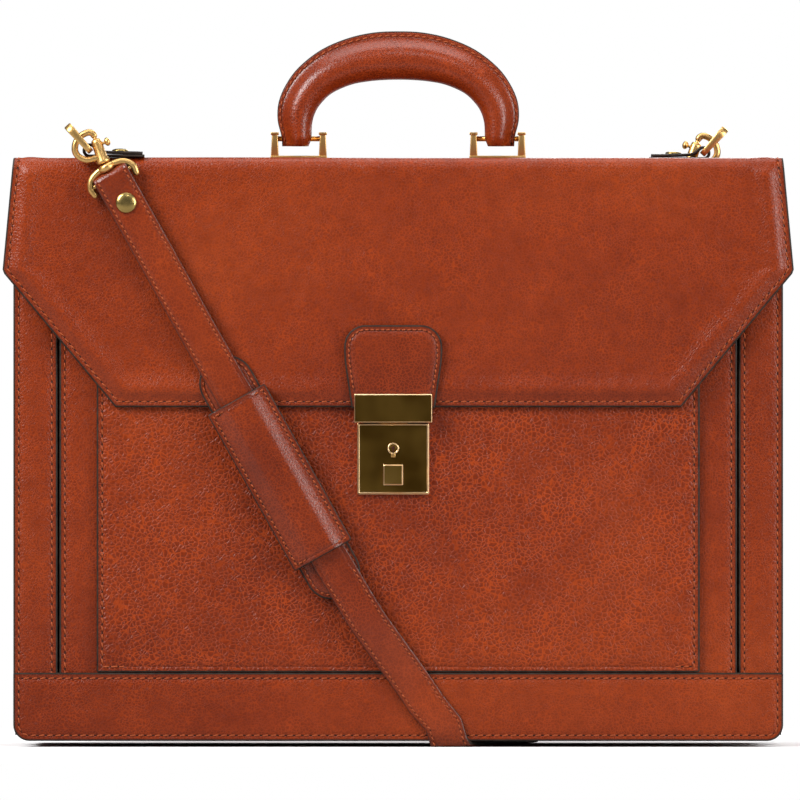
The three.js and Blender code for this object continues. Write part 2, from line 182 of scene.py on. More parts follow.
def leather(name, colours, cells, lines, grain, rough=(0.30, 0.40), coat=0.2):
    """Tanned hide: mottled colour, burnished edges, a net of pale creases round its grain, and pores."""
    dark, base, light = colours
    mat, tree, shader, coords = material(name)
    broad = texture(tree, "ShaderNodeTexNoise", coords, 7, Detail=2.0, Roughness=0.5)
    fine = texture(tree, "ShaderNodeTexNoise", coords, 140, Detail=5.0, Roughness=0.65)
    colour = ramp(tree, broad.outputs["Fac"], [(0.25, dark), (0.5, base), (0.78, light)])
    mottle = ramp(tree, fine.outputs["Fac"], [(0.3, (0.82, 0.78, 0.76)), (0.7, (1.10, 1.13, 1.15))])
    colour = mix(tree, 1.0, colour, mottle, "MULTIPLY")

    jitter = texture(tree, "ShaderNodeTexNoise", coords, cells * 0.35, Detail=2.0)
    warped = tree.nodes.new("ShaderNodeVectorMath")
    warped.operation = "MULTIPLY_ADD"
    tree.links.new(jitter.outputs["Color"], warped.inputs[0])
    warped.inputs[1].default_value = (1.6 / cells,) * 3
    tree.links.new(coords, warped.inputs[2])
    net = texture(tree, "ShaderNodeTexVoronoi", warped.outputs[0], cells)
    net.feature = "DISTANCE_TO_EDGE"
    crease = ramp(tree, net.outputs["Distance"], [(0.02, (lines,) * 3), (0.14, (0, 0, 0))])
    patch = texture(tree, "ShaderNodeTexNoise", coords, 42, Detail=3.0)
    where = ramp(tree, patch.outputs["Fac"], [(0.32, (0.35,) * 3), (0.62, (1, 1, 1))])
    crease = mix(tree, 1.0, crease, where, "MULTIPLY")
    colour = mix(tree, crease, colour, (*[c * 1.9 for c in light], 1))

    burnish = tree.nodes.new("ShaderNodeAttribute")
    burnish.attribute_name = "burnish"
    colour = mix(tree, burnish.outputs["Fac"], colour, (*[c * 0.42 for c in dark], 1))
    tree.links.new(colour, shader.inputs["Base Color"])
    spread_roughness(tree, shader, fine, rough)

    folds = texture(tree, "ShaderNodeTexNoise", coords, 60, Detail=4.0, Roughness=0.6)
    pores = texture(tree, "ShaderNodeTexNoise", coords, 2200, Detail=2.0)
    dome = ramp(tree, net.outputs["Distance"], [(0.0, (0, 0, 0)), (0.30, (1, 1, 1))])
    soft = bump(tree, folds.outputs["Fac"], 0.1, 0.0020)
    normal = bump(tree, dome, grain, 0.00030, soft)
    normal = bump(tree, pores.outputs["Fac"], 0.20, 0.00012, normal)
    tree.links.new(normal, shader.inputs["Normal"])
    tree.links.new(bump(tree, dome, grain * 0.35, 0.00030, soft), shader.inputs["Coat Normal"])
    shader.inputs["Specular IOR Level"].default_value = 0.17
    shader.inputs["Coat Weight"].default_value = coat
    shader.inputs["Coat Roughness"].default_value = 0.24
    return mat


def metal(name, dark, light, rough, streak=(1, 1, 1)):
    mat, tree, shader, coords = material(name)
    mapping = tree.nodes.new("ShaderNodeMapping")
    tree.links.new(coords, mapping.inputs["Vector"])
    mapping.inputs["Scale"].default_value = streak
    wear = texture(tree, "ShaderNodeTexNoise", mapping.outputs["Vector"], 110, Detail=2.0)
    patina = texture(tree, "ShaderNodeTexNoise", coords, 60, Detail=1.0)
    colour = ramp(tree, patina.outputs["Fac"], [(0.3, dark), (0.65, light)])
    tree.links.new(colour, shader.inputs["Base Color"])
    spread_roughness(tree, shader, wear, (rough * 0.9, rough * 1.1))
    shader.inputs["Metallic"].default_value = 1.0
    return mat


def matt(name, dark, light, scale, rough):
    mat, tree, shader, coords = material(name)
    noise = texture(tree, "ShaderNodeTexNoise", coords, scale, Detail=4.0)
    colour = ramp(tree, noise.outputs["Fac"], [(0.3, dark), (0.7, light)])
    tree.links.new(colour, shader.inputs["Base Color"])
    shader.inputs["Roughness"].default_value = rough
    shader.inputs["Specular IOR Level"].default_value = 0.22
    tree.links.new(bump(tree, noise.outputs["Fac"], 0.3, 0.0002), shader.inputs["Normal"])
    return mat


TAN = ((0.132, 0.0135, 0.0014), (0.190, 0.0222, 0.0024), (0.250, 0.0350, 0.0044))
DEEP_TAN = ([c * 0.85 for c in TAN[0]], [c * 0.92 for c in TAN[1]], TAN[2])
BLACK = ((0.006, 0.005, 0.005), (0.012, 0.010, 0.010), (0.03, 0.026, 0.024))
BROWN = ((0.10, 0.035, 0.014), (0.17, 0.06, 0.024), (0.24, 0.09, 0.036))
SMOOTH = leather("hide_smooth", TAN, 600, 0.33, 0.55, coat=0.22)
PEBBLED = leather("hide_pebbled", TAN, 430, 0.52, 0.90, coat=0.18)
STRAPPING = leather("hide_strap", DEEP_TAN, 540, 0.32, 0.40, (0.30, 0.42), 0.42)
CHAPE = leather("hide_black", BLACK, 700, 0.3, 0.5, (0.30, 0.45))
SUEDE = leather("lining", BROWN, 1500, 0.2, 0.4, (0.75, 0.90), 0.0)
EDGE = matt("edge_paint", (0.008, 0.005, 0.0035), (0.034, 0.022, 0.015), 260, 0.55)
THREAD = matt("thread", (0.20, 0.034, 0.008), (0.42, 0.090, 0.024), 1800, 0.6)
# painted shade: a near-black colour put where the stitch holes, the keyhole and the hook's slot would hold shade
HOLE_SHADE = matt("painted_hole_shade", (0.018, 0.004, 0.001), (0.05, 0.009, 0.003), 900, 0.8)
BRASS = metal("brass", (0.62, 0.36, 0.12), (0.74, 0.46, 0.17), 0.36)
LOCK_FACE = metal("brass_brushed", (0.075, 0.038, 0.006), (0.150, 0.085, 0.016), 0.38, (0.06, 1, 1))
BUTTON = metal("brass_button", (0.20, 0.115, 0.024), (0.32, 0.195, 0.050), 0.34, (1, 1, 0.06))
ANTIQUE = metal("brass_antique", (0.30, 0.20, 0.060), (0.46, 0.33, 0.115), 0.27)
POLISHED = metal("brass_bright", (0.90, 0.60, 0.30), (1.00, 0.72, 0.40), 0.30)
STEEL = metal("plated_steel", (0.24, 0.24, 0.25), (0.32, 0.32, 0.33), 0.42)


# ---- mesh tools ----
def piece(name, verts, faces, mats, face_mats=None, smooth=True, burnish=None):
    """A mesh object from millimetre points."""
    mesh = bpy.data.meshes.new(name)
    mesh.from_pydata([Vector(v) / 1000 for v in verts], [], faces)
    for mat in mats:
        mesh.materials.append(mat)
    if face_mats is not None:
        mesh.polygons.foreach_set("material_index", face_mats)
    mesh.polygons.foreach_set("use_smooth", [smooth] * len(mesh.polygons))
    if burnish is not None:
        mesh.attributes.new("burnish", "FLOAT", "POINT").data.foreach_set("value", burnish)
    work = bmesh.new()
    work.from_mesh(mesh)
    bmesh.ops.recalc_face_normals(work, faces=work.faces)
    work.to_mesh(mesh)
    work.free()
    mesh.update()
    obj = bpy.data.objects.new(name, mesh)
    bpy.context.scene.collection.objects.link(obj)
    return obj


def tube(rows, count, base=0, closed=False, caps=True):
    """Faces over rings of points, ring after ring, with flat ends."""
    faces = []
    for k in range(rows if closed else rows - 1):
        low, high = base + k * count, base + (k + 1) % rows * count
        faces += [(low + i, low + (i + 1) % count, high + (i + 1) % count, high + i) for i in range(count)]
    if caps and not closed:
        faces.append(tuple(base + i for i in reversed(range(count))))
        faces.append(tuple(base + (rows - 1) * count + i for i in range(count)))
    return faces


def sheet_faces(rows, columns, edge_mat=None):
    """Faces and material numbers of a thin sheet, whose second layer follows the first in the list of points.
    The good side has material 0, the cut edge 1 and the lining 2."""
    sheet = rows * columns
    faces, mats = [], []
    for i in range(rows - 1):
        for j in range(columns - 1):
            a, b = i * columns + j, (i + 1) * columns + j
            faces += [(a, a + 1, b + 1, b), (sheet + a, sheet + b, sheet + b + 1, sheet + a + 1)]
            mats += [edge_mat(i, j) if edge_mat else 0, 2]
    last = (rows - 1) * columns
    rim = [*range(columns), *[(i + 1) * columns - 1 for i in range(1, rows)],
           *[last + j for j in range(columns - 2, -1, -1)], *[i * columns for i in range(rows - 2, 0, -1)]]
    for a, b in zip(rim, rim[1:] + rim[:1]):
        faces.append((a, b, sheet + b, sheet + a))
        mats.append(1)
    return faces, mats


def edge_wear(d, reach=2.2):
    """How burnished leather is at distance d from its cut edge: most at the edge, some in the stitch groove."""
    return max(0.0, 1 - d / reach) * 0.85 + (0.3 if 2.5 < d < 3.7 else 0.0)


def settle(obj, body, nodes=()):
    """Gives a piece its body and hides the CAD nodes it stands for. A "strap" or "hide" piece gets no body: its
    transform is baked in.
    """
    if body == "strap":
        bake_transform(obj)
    elif body == "hide":
        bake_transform(obj)
    else:
        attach(obj, body)
    if nodes:
        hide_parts(*nodes)
    return obj


def inset_ring(corners, radii, d, arc=8, along=6):
    """A convex polygon's outline moved inwards by d, its corners rounded. Any d gives the same point count."""
    count = len(corners)
    lines = []
    for i in range(count):
        a, b = Vector(corners[i]), Vector(corners[(i + 1) % count])
        t = (b - a).normalized()
        lines.append((a + Vector((-t.y, t.x)) * d, t))
    sharp = []
    for i in range(count):
        (p, t), (q, u) = lines[i - 1], lines[i]
        k = ((q.x - p.x) * u.y - (q.y - p.y) * u.x) / (t.x * u.y - t.y * u.x)
        sharp.append(p + t * k)
    ring = []
    for i in range(count):
        t_in, t_out = lines[i - 1][1], lines[i][1]
        turn = t_in.angle(t_out)
        r = max(radii[i] - d, 0.25)
        n_in = Vector((-t_in.y, t_in.x))
        centre = sharp[i] - t_in * (r * math.tan(turn / 2)) + n_in * r
        for k in range(arc + 1):
            c, s = math.cos(turn * k / arc), math.sin(turn * k / arc)
            ring.append(centre + Vector((n_in.y * s - n_in.x * c, -n_in.x * s - n_in.y * c)) * r)
        after = (i + 1) % count
        back = max(radii[after] - d, 0.25) * math.tan(t_out.angle(lines[after][1]) / 2)
        first = ring[-1].copy()
        end = sharp[after] - t_out * back
        ring += [first.lerp(end, k / along) for k in range(1, along)]
    return ring


PROFILE = [(0.0, 2.45), (0.0, 0.55), (0.12, 0.22), (0.45, 0.04), (0.9, 0.0), (2.3, -0.04), (2.75, 0.16),
           (3.1, 0.3), (3.45, 0.16), (3.9, -0.04), (7, -0.2), (12, -0.28)]


def panel(name, corners, radii, y_front, thick, mat, body, nodes, place=None, sides=None, crown=None,
          stitch_in=SEW_IN, arc=8, along=6, profile=PROFILE, open_below=None, pitch=STITCH_PITCH):
    """A flat leather piece in XZ, good side to -Y, with a painted edge and a sunk stitch line. Each of sides
    sews one upright edge: its sign, lowest and highest z, and inner x. open_below sews nothing below it."""
    stops = [(d, y if y < 2 else thick) for d, y in profile]
    rings = [inset_ring(corners, radii, d, arc, along) for d, _ in stops]
    m = len(rings[0])
    verts, wear = [], []
    for ring, (d, y) in zip(rings, stops):
        for p in ring:
            lift = crown(p.x, p.y) if crown and y < thick * 0.9 else 0.0
            verts.append(Vector((p.x, y_front + y - lift, p.y)))
            wear.append(edge_wear(d))
    mats = [1 if d < 1.0 else 0 for d, _ in stops[1:] for _ in range(m)] + [0, 0]
    if place:
        verts = [place @ v for v in verts]
    obj = piece(name, verts, tube(len(rings), m), [mat, EDGE], mats, burnish=wear)
    settle(obj, body, nodes)

    line = inset_ring(corners, radii, stitch_in, arc, along)
    path = [Vector((p.x, y_front + 0.16 - (crown(p.x, p.y) if crown else 0), p.y)) for p in line]
    if sides:
        path.append(path[0])
        keep = [[p for p in path if low <= p.z <= high and sign * p.x > inner]
                for sign, low, high, inner in sides]
        for run in keep:
            run.sort(key=lambda p: p.z)
    elif open_below:
        first = next(i for i in range(len(path)) if path[i - 1].z < open_below <= path[i].z)
        keep = [[p for p in path[first:] + path[:first] if p.z >= open_below]]
    else:
        keep = [path + [path[0]]]
    out = Vector((0, -1, 0))
    if place:
        keep = [[place @ p for p in run] for run in keep]
        out = (place.to_3x3() @ out).normalized()
    stitches(name + "_stitching", keep, [[out] * len(run) for run in keep], body, pitch)
    return obj


def stitches(name, paths, normals, body, pitch=STITCH_PITCH):
    """Thread stitches sunk in their holes along the given paths. Each hole is a flat dark disc of painted shade.
    """
    verts, faces, mats = [], [], []
    radius, sides, rim = 0.46, 6, 8
    rings = [(-1.0, 0.0, -0.30), (-0.8, 0.75, -0.12), (-0.3, 1.0, 0.05),
             (0.3, 1.0, 0.05), (0.8, 0.75, -0.12), (1.0, 0.0, -0.30)]
    for path, outs in zip(paths, normals):
        lengths = [0.0]
        for a, b in zip(path, path[1:]):
            lengths.append(lengths[-1] + (b - a).length)
        count = max(1, round(lengths[-1] / pitch))
        step = lengths[-1] / count
        for i in range(count):
            spot = (i + 0.5) * step
            k = min(max(int(np.searchsorted(lengths, spot)) - 1, 0), len(path) - 2)
            share = (spot - lengths[k]) / max(lengths[k + 1] - lengths[k], 1e-6)
            centre = path[k].lerp(path[k + 1], share)
            out = outs[k]
            along = (path[k + 1] - path[k]).normalized()
            across = out.cross(along).normalized()
            slant = (along + across * 0.16).normalized()
            wide = out.cross(slant)
            new = tube(len(rings), sides, len(verts), caps=False)
            faces += new
            mats += [0] * len(new)
            for s, r, h in rings:
                for q in range(sides):
                    a = 2 * math.pi * q / sides
                    verts.append(centre + slant * (s * step * 0.37) + wide * (radius * r * math.cos(a))
                                 + out * (0.12 + h + radius * r * math.sin(a)))
            faces.append(tuple(len(verts) + q for q in range(rim)))
            mats.append(1)
            # painted shade: a flat dark disc at each stitch hole stands for the shade inside it
            hole = centre + along * (step * 0.5) + out * 0.03
            for q in range(rim):
                a = 2 * math.pi * q / rim
                verts.append(hole + along * (0.75 * math.cos(a)) + across * (0.55 * math.sin(a)))
    return settle(piece(name, verts, faces, [THREAD, HOLE_SHADE], mats), body)


def sweep(name, path, sections, mats, frames, closed=False, edges=(), burnish=None):
    """Carries a section, one list of (a, b) for each path point, along a path with frames (a axis, b axis).
    The section's sides in edges, and the ends if side 0 is one of them, have the second material."""
    m = len(sections[0])
    verts = []
    for p, section, (ax, bx) in zip(path, sections, frames):
        verts += [p + ax * a + bx * b for a, b in section]
    spans = len(path) if closed else len(path) - 1
    index = [int(i in edges) for _ in range(spans) for i in range(m)]
    if not closed:
        index += [int(0 in edges)] * 2
    wear = [b for _ in path for b in burnish] if burnish else None
    return piece(name, verts, tube(len(path), m, closed=closed), mats, index, burnish=wear)


def smooth_path(points, steps):
    """A Catmull-Rom curve through the points."""
    pts = [Vector(p) for p in points]
    out = []
    for i in range(len(pts) - 1):
        p1, p2 = pts[i], pts[i + 1]
        p0 = pts[i - 1] if i > 0 else p1 * 2 - p2
        p3 = pts[i + 2] if i + 2 < len(pts) else p2 * 2 - p1
        for k in range(steps):
            t = k / steps
            out.append(0.5 * (2 * p1 + (p2 - p0) * t + (2 * p0 - 5 * p1 + 4 * p2 - p3) * t * t
                              + (3 * p1 - p0 - 3 * p2 + p3) * t ** 3))
    out.append(pts[-1])
    return out


def wire(name, points, radius, place):
    """A round brass bar along points in the XZ plane, with rounded ends."""
    sides = 16
    plane = Vector((0, 1, 0))
    path = smooth_path(points, 8)
    last = len(path) - 1
    rows = []
    for i, p in enumerate(path):
        t = (path[min(i + 1, last)] - path[max(i - 1, 0)]).normalized()
        rows.append((p, radius, t.cross(plane).normalized(), t))
    for reach, scale in ((0.5, 0.86), (0.85, 0.5), (1.0, 0.08)):
        _, _, side, t = rows[-1]
        rows.append((path[-1] + t * radius * reach, radius * scale, side, t))
        _, _, side, t = rows[0]
        rows.insert(0, (path[0] - t * radius * reach, radius * scale, side, t))
    turn = place.to_3x3()
    circle = [(math.cos(2 * math.pi * q / sides), math.sin(2 * math.pi * q / sides)) for q in range(sides)]
    sections = [[(a * r, b * r) for a, b in circle] for _, r, _, _ in rows]
    frames = [(turn @ plane, turn @ side) for _, _, side, _ in rows]
    return sweep(name, [place @ row[0] for row in rows], sections, [BRASS], frames)


def turned(name, profile, mat, place):
    """A lathe piece round local Z from (radius, z) points."""
    sides = 32
    verts = []
    for r, z in profile:
        for q in range(sides):
            a = 2 * math.pi * q / sides
            verts.append(place @ Vector((max(r, 0.01) * math.cos(a), max(r, 0.01) * math.sin(a), z)))
    return piece(name, verts, tube(len(profile), sides), [mat])


def block(name, low, high, bevel, mat, place=None):
    """A box with rounded edges."""
    spans = list(zip(low, high))
    corners = [Vector((x, y, z)) for x in spans[0] for y in spans[1] for z in spans[2]]
    if place:
        corners = [place @ c for c in corners]
    faces = [(0, 1, 3, 2), (4, 6, 7, 5), (0, 4, 5, 1), (2, 3, 7, 6), (0, 2, 6, 4), (1, 5, 7, 3)]
    obj = piece(name, corners, faces, [mat])
    soft = obj.modifiers.new("edges", "BEVEL")
    soft.width = bevel / 1000
    soft.segments = 3
    soft.limit_method = "ANGLE"
    return obj


def joined(name, objects):
    """One object from several, with their modifiers applied."""
    graph = bpy.context.evaluated_depsgraph_get()
    verts, faces, mats, index = [], [], [], []
    for obj in objects:
        mesh = obj.evaluated_get(graph).to_mesh()
        base = len(verts)
        slots = []
        for mat in obj.data.materials:
            if mat not in mats:
                mats.append(mat)
            slots.append(mats.index(mat))
        verts += [Vector(v.co) * 1000 for v in mesh.vertices]
        for poly in mesh.polygons:
            faces.append(tuple(base + i for i in poly.vertices))
            index.append(slots[poly.material_index])
    for obj in objects:
        bpy.data.objects.remove(obj)
    return piece(name, verts, faces, mats, index)


# ---- the hide: back, top and flap in one piece ----
FLAP_WIDE = FLAP_HIGH[0]
FLAP_WIDE_Z = 264.5
FLAP_EDGE_HALF = 157.6
FLAP_EDGE_Z = FLAP_LOW[2]
FOLD = 6.0
EDGE_STEPS = [0.0, 0.12, 0.45, 0.9, 2.3, 2.75, 3.1, 3.45, 3.9, 5.2, 6.8, 8.6, 10.6, 13.0, 16.0, 20.0, 26.0]


def flap_half(z):
    if z >= FLAP_WIDE_Z:
        return HALF_W + (FLAP_WIDE - HALF_W) * min(1.0, (TOP_Z - z) / (TOP_Z - FLAP_WIDE_Z))
    return FLAP_EDGE_HALF + (FLAP_WIDE - FLAP_EDGE_HALF) * (z - FLAP_EDGE_Z) / (FLAP_WIDE_Z - FLAP_EDGE_Z)


def hide_stations():
    """Rows up the back, over the top and down the front: y, z, outward direction, half width, edge slant and
    distance to the end of the hide."""
    far = 99
    rows = []
    for z in [BOTTOM_Z + d for d in EDGE_STEPS] + list(np.linspace(40, TOP_Z - FOLD, 18)):
        rise = z - BOTTOM_Z
        corner = CORNER - math.sqrt(max(0.0, CORNER ** 2 - (CORNER - rise) ** 2)) if rise < CORNER else 0.0
        rows.append((HALF_D, z, (1, 0), HALF_W - corner, 1.0, rise))
    bend = [math.pi / 2 * k / 8 for k in range(1, 8)]
    for a in bend:
        c, s = math.cos(a), math.sin(a)
        rows.append((HALF_D - FOLD + FOLD * c, TOP_Z - FOLD + FOLD * s, (c, s), HALF_W, 1.0, far))
    top = [*np.linspace(HALF_D - FOLD, 40, 5), *np.linspace(38, 22, 13), *np.linspace(18, FOLD - HALF_D, 12)]
    for y in top:
        rows.append((y, TOP_Z, (0, 1), HALF_W, 1.0, far))
    for a in bend:
        c, s = math.cos(a), math.sin(a)
        z = TOP_Z - FOLD + FOLD * c
        rows.append((FOLD - HALF_D - FOLD * s, z, (-s, c), flap_half(z), 1.0, far))
    slant = math.hypot(1, (FLAP_WIDE - FLAP_EDGE_HALF) / (FLAP_WIDE_Z - FLAP_EDGE_Z))
    down = [*np.linspace(TOP_Z - FOLD, FLAP_WIDE_Z + 3, 14), FLAP_WIDE_Z + 1.2, FLAP_WIDE_Z - 1.2]
    down += [*np.linspace(FLAP_WIDE_Z - 4, FLAP_EDGE_Z + 30, 12)]
    down += [FLAP_EDGE_Z + d for d in reversed(EDGE_STEPS)]
    for z in down:
        share = min(1.0, max(0.0, (FLAP_WIDE_Z + 1.2 - z) / 2.4))
        rows.append((-HALF_D, z, (-1, 0), flap_half(z), 1 + (slant - 1) * share, z - FLAP_EDGE_Z))
    return rows


def edge_depth(d):
    """How far the good side lies under its plane at distance d from the cut edge."""
    profile = [(0.0, 0.75), (0.12, 0.30), (0.45, 0.06), (0.9, 0.0), (2.3, 0.0),
               (2.75, 0.24), (3.1, 0.42), (3.45, 0.24), (3.9, -0.02)]
    for (d0, y0), (d1, y1) in zip(profile, profile[1:]):
        if d <= d1:
            return y0 + (y1 - y0) * (d - d0) / (d1 - d0)
    return -0.02


def padded_band(d, front):
    """The padded welt just inside the flap's sewn edge, falling off to a flat middle."""
    if d < 3.9:
        return 0.0
    rise = 1 - math.exp(-((d - 3.9) / 2.6) ** 2)
    return front * rise * (2.1 * math.exp(-((d - 9.5) / 6.0) ** 2) + 0.25)


def ripple(x, z):
    """Slow waves that keep the hide from lying dead flat."""
    return 0.28 * math.sin(x / 37 + z / 61) + 0.2 * math.sin(z / 23 - x / 71 + 1.3)


def make_hide():
    rows = hide_stations()
    steps = EDGE_STEPS + [40, 60, 82, 106, 130]
    verts, wear = [], []
    columns = len(steps) * 2 + 1
    for back_side in (False, True):
        for y, z, (ny, nz), half, slant, end in rows:
            front = 1.0 if (ny < -0.9 and z < TOP_Z - FOLD + 0.1) else 0.25
            offsets = [half - d * slant * min(1.0, half / 160) for d in steps]
            for x in [-x for x in offsets] + [0.0] + offsets[::-1]:
                # the padded edge is pressed flat where the tab lies on it
                pressed = math.exp(-((x - LOCK_X) / 34) ** 4) if ny < -0.9 and z < 245 else 0.0
                d = max(0.0, min((half - abs(x)) / slant, end))
                depth = HIDE if back_side else edge_depth(d) - padded_band(d, front * (1 - pressed))
                if not back_side and d > 4:
                    depth -= ripple(x, z + y) * min(1.0, (d - 4) / 20) * 0.6 - 0.1
                verts.append(Vector((x, y - ny * depth, z - nz * depth)))
                wear.append(edge_wear(d, 2.4))

    def edge_mat(i, j):
        return int(j < 3 or j >= columns - 4 or i < 3 or i >= len(rows) - 4)
    faces, mats = sheet_faces(len(rows), columns, edge_mat)
    hide = piece("hide", verts, faces, [SMOOTH, EDGE, SUEDE], mats, burnish=wear)
    settle(hide, "hide", ["back_panel", "top_rear_rim", "flap_top", "flap_front"])

    paths, outs = [], []
    sewn = [row for row in rows if row[5] >= SEW_IN]
    for sign in (-1, 1):
        paths.append([Vector((sign * (half - SEW_IN * slant), y - ny * 0.3, z - nz * 0.3))
                      for y, z, (ny, nz), half, slant, _ in sewn])
        outs.append([Vector((0, *row[2])) for row in sewn])
    count = 60
    for y, z, direction, half in ((0.3 - HALF_D, FLAP_EDGE_Z + SEW_IN, -1, FLAP_EDGE_HALF),
                                  (HALF_D - 0.3, BOTTOM_Z + SEW_IN, 1, HALF_W - 8)):
        paths.append([Vector((-half + 2 * half * k / count, y, z)) for k in range(count + 1)])
        outs.append([Vector((0, direction, 0))] * (count + 1))
    stitches("hide_stitching", paths, outs, "hide")


# ---- the panels and the inside ----
def outline(low, high, wider_left=0.0, wider_right=0.0):
    """A box's outline in XZ."""
    x0, x1 = low[0] - wider_left, high[0] + wider_right
    return [(x0, low[2]), (x1, low[2]), (x1, high[2]), (x0, high[2])]


def swell(half_x, z0, z1, rise):
    """A panel's middle stands out a little between its sewn edges."""
    def crown(x, z):
        across = max(0.0, 1 - (x / half_x) ** 2)
        up = max(0.0, 1 - ((z - (z0 + z1) / 2) / ((z1 - z0) / 2)) ** 2)
        return rise * across * up + 0.5 * ripple(x * 1.3, z) * min(1.0, across * up * 3)
    return crown


def make_panels():
    low, high = node_box("bottom_band")
    panel("band", outline(low, high), [CORNER, CORNER, 0.9, 0.9], low[1], LEATHER, SMOOTH, "root",
          ["bottom_band"], along=30)
    low, high = SLIP_LOW, SLIP_HIGH
    panel("slip_pocket", outline(low, high), [1] * 4, low[1], LEATHER, PEBBLED, "root",
          ["slip_pocket_panel"], along=30, crown=swell(168, low[2], high[2], 0.3),
          sides=[(sign, low[2] + 3, high[2], 150) for sign in (-1, 1)])
    # the front and the side strips close the slit between them to a narrow line
    low, high = node_box("pocket_front_panel")
    wider = 0.6
    panel("pocket_front", outline(low, high, wider, wider), [1.5] * 4, low[1], LEATHER, SMOOTH, "root",
          ["pocket_front_panel"], along=30,
          sides=[(sign, low[2] + 30, high[2], 175) for sign in (-1, 1)])
    for side, left, right in (("left", 0.0, wider), ("right", wider, 0.0)):
        low, high = node_box(f"side_strip_{side}")
        middle = (low[0] + high[0]) / 2

        def crown(x, z):
            return 0.5 * max(0.0, 1 - ((x - middle) / 12) ** 2)
        panel(f"side_strip_{side}_face", outline(low, high, left, right), [1.5] * 4, low[1], LEATHER, SMOOTH,
              "root", [f"side_strip_{side}"], along=30, crown=crown)
    inside = (("main_front", "main_front_panel", "leather"), ("divider", "middle_divider", "lining"))
    for name, node, slot in inside:
        low, high = node_box(node)
        panel(name, outline(low, high), [2, 2, 6, 6], low[1], LEATHER, SUEDE, "root", [node], along=12)
    low, high = node_box("bottom_board")
    settle(block("bottom", low, high, 1.0, SMOOTH), "root", ["bottom_board"])


def pleat(name, node, sign, stations, outer, fold, thick, z0, z1):
    """A side wall with soft folds between its sewn lines."""
    samples = 12
    line = []
    for a, b in zip(stations, stations[1:]):
        for k in range(samples):
            t = k / samples
            line.append((outer - fold * 0.5 * (1 - math.cos(2 * math.pi * t)), a + (b - a) * t))
    line.append((outer, stations[-1]))
    heights = np.linspace(z0, z1, 14)
    verts = []
    for inward in (0.0, thick):
        for z in heights:
            sag = 0.9 * math.sin(math.pi * (z - z0) / (z1 - z0))
            for x, y in line:
                verts.append(Vector((sign * (x + sag * 0.5 * math.sin(y / 9 + z / 60) - inward), y, z)))
    faces, mats = sheet_faces(len(heights), len(line))
    settle(piece(name, verts, faces, [SMOOTH, EDGE, SUEDE], mats), "root", [node])
    runs = [[Vector((sign * (outer + 0.2), y, z)) for z in heights] for y in stations[1:-1]]
    if runs:
        stitches(name + "_stitching", runs, [[Vector((sign, 0, 0))] * len(heights)] * len(runs), "root")


def make_gussets():
    low, high = node_box("gusset_right")
    main = node_box("main_front_panel")
    divider = node_box("middle_divider")
    lines = [low[1], (main[0][1] + main[1][1]) / 2, (divider[0][1] + divider[1][1]) / 2, high[1]]
    pocket_low, pocket_high = node_box("pocket_gusset_right")
    for side, sign in (("left", -1), ("right", 1)):
        pleat(f"side_wall_{side}", f"gusset_{side}", sign, lines, high[0], 9, 2.2, low[2], high[2])
        pleat(f"pocket_wall_{side}", f"pocket_gusset_{side}", sign, [pocket_low[1], pocket_high[1]],
              pocket_high[0], 4.5, 2.0, pocket_low[2], pocket_high[2])


# ---- tab, hasp and lock ----
def stepped(name, corners, radii, y_front, stops, mats, body, nodes, back=3.0):
    """A brass plate in XZ whose face steps in from its edge: stops are (distance in, depth, material)."""
    stops = [(0.0, back, 0), *stops]
    rings = [inset_ring(corners, radii, d, 6, 3) for d, _, _ in stops]
    verts = [Vector((p.x, y_front + y, p.y)) for ring, (_, y, _) in zip(rings, stops) for p in ring]
    index = [mat for _, _, mat in stops[1:] for _ in rings[0]] + [0, stops[-1][2]]
    obj = piece(name, verts, tube(len(rings), len(rings[0])), mats, index, smooth=False)
    return settle(obj, body, nodes)


